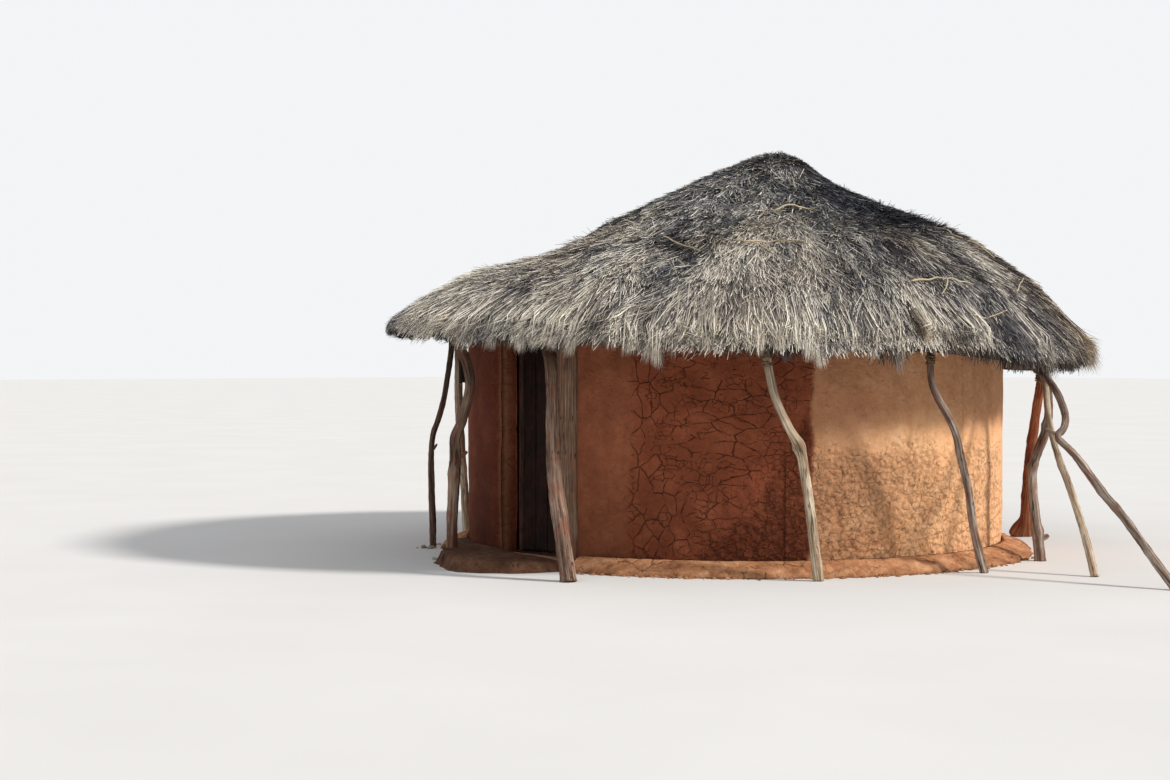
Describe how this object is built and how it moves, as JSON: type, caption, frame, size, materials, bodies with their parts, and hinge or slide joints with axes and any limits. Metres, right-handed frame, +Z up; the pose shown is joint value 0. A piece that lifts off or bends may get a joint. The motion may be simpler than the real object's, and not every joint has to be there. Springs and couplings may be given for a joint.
{
  "type": "rondavel hut",
  "caption": "Round mud-walled hut with a shaggy grass thatch roof on crooked posts, a plank door on pivots and a low mud bench.",
  "frame": {"origin": "middle of the round wall, on the ground", "axes": "+Z up, the doorway faces -Y, +X to the right of someone who stands in front and faces the doorway"},
  "size_m": [7.3586, 6.0407, 3.388],
  "materials": {
    "mud": "sun-dried red mud plaster, cracked and pitted",
    "bench_mud": "worn mud",
    "earth": "beaten earth",
    "door_wood": "dark weathered planks",
    "post_wood": "weathered grey-brown poles",
    "red_wood": "reddish bare trunk",
    "roof_wood": "dark smoked poles",
    "thatch": "weathered grey grass, ragged ends"
  },
  "bodies": {
    "hut": {"plinth": "bench_mud", "floor": "earth", "threshold": "earth", "wall_1": "mud", "wall_2": "mud", "wall_3": "mud", "wall_4": "mud", "wall_5": "mud", "wall_6": "mud", "wall_7": "mud", "wall_8": "mud", "wall_over_door": "mud", "door_sill": "door_wood", "door_lintel": "door_wood", "door_jamb": "post_wood", "post_left": "post_wood", "post_doorway": "post_wood", "post_front": "post_wood", "post_front_right": "post_wood", "post_right": "post_wood", "post_right_back": "red_wood", "post_back_1": "post_wood", "post_back_2": "post_wood", "post_back_3": "post_wood", "post_back_4": "post_wood", "post_left_back": "post_wood", "post_left_thin": "post_wood", "prop_right_near": "post_wood", "prop_right_far": "post_wood", "eave_beams": "roof_wood", "rafter_beds": "mud", "rafters": "roof_wood", "battens": "roof_wood", "crown_hoop": "roof_wood", "thatch_eave": "thatch", "thatch_lower": "thatch", "thatch_middle": "thatch", "thatch_upper": "thatch", "thatch_cap": "thatch"},
    "door": {"door_stile": "door_wood", "door_planks": "door_wood", "door_ledges": "door_wood"}
  },
  "joints": [
    {"name": "door_hinge", "type": "hinge", "parent": "hut", "child": "door", "pos_m": [-0.427, -2.01587, 0.06], "axis": [0, 0, 1], "range_deg": [-6, 85]}
  ]
}
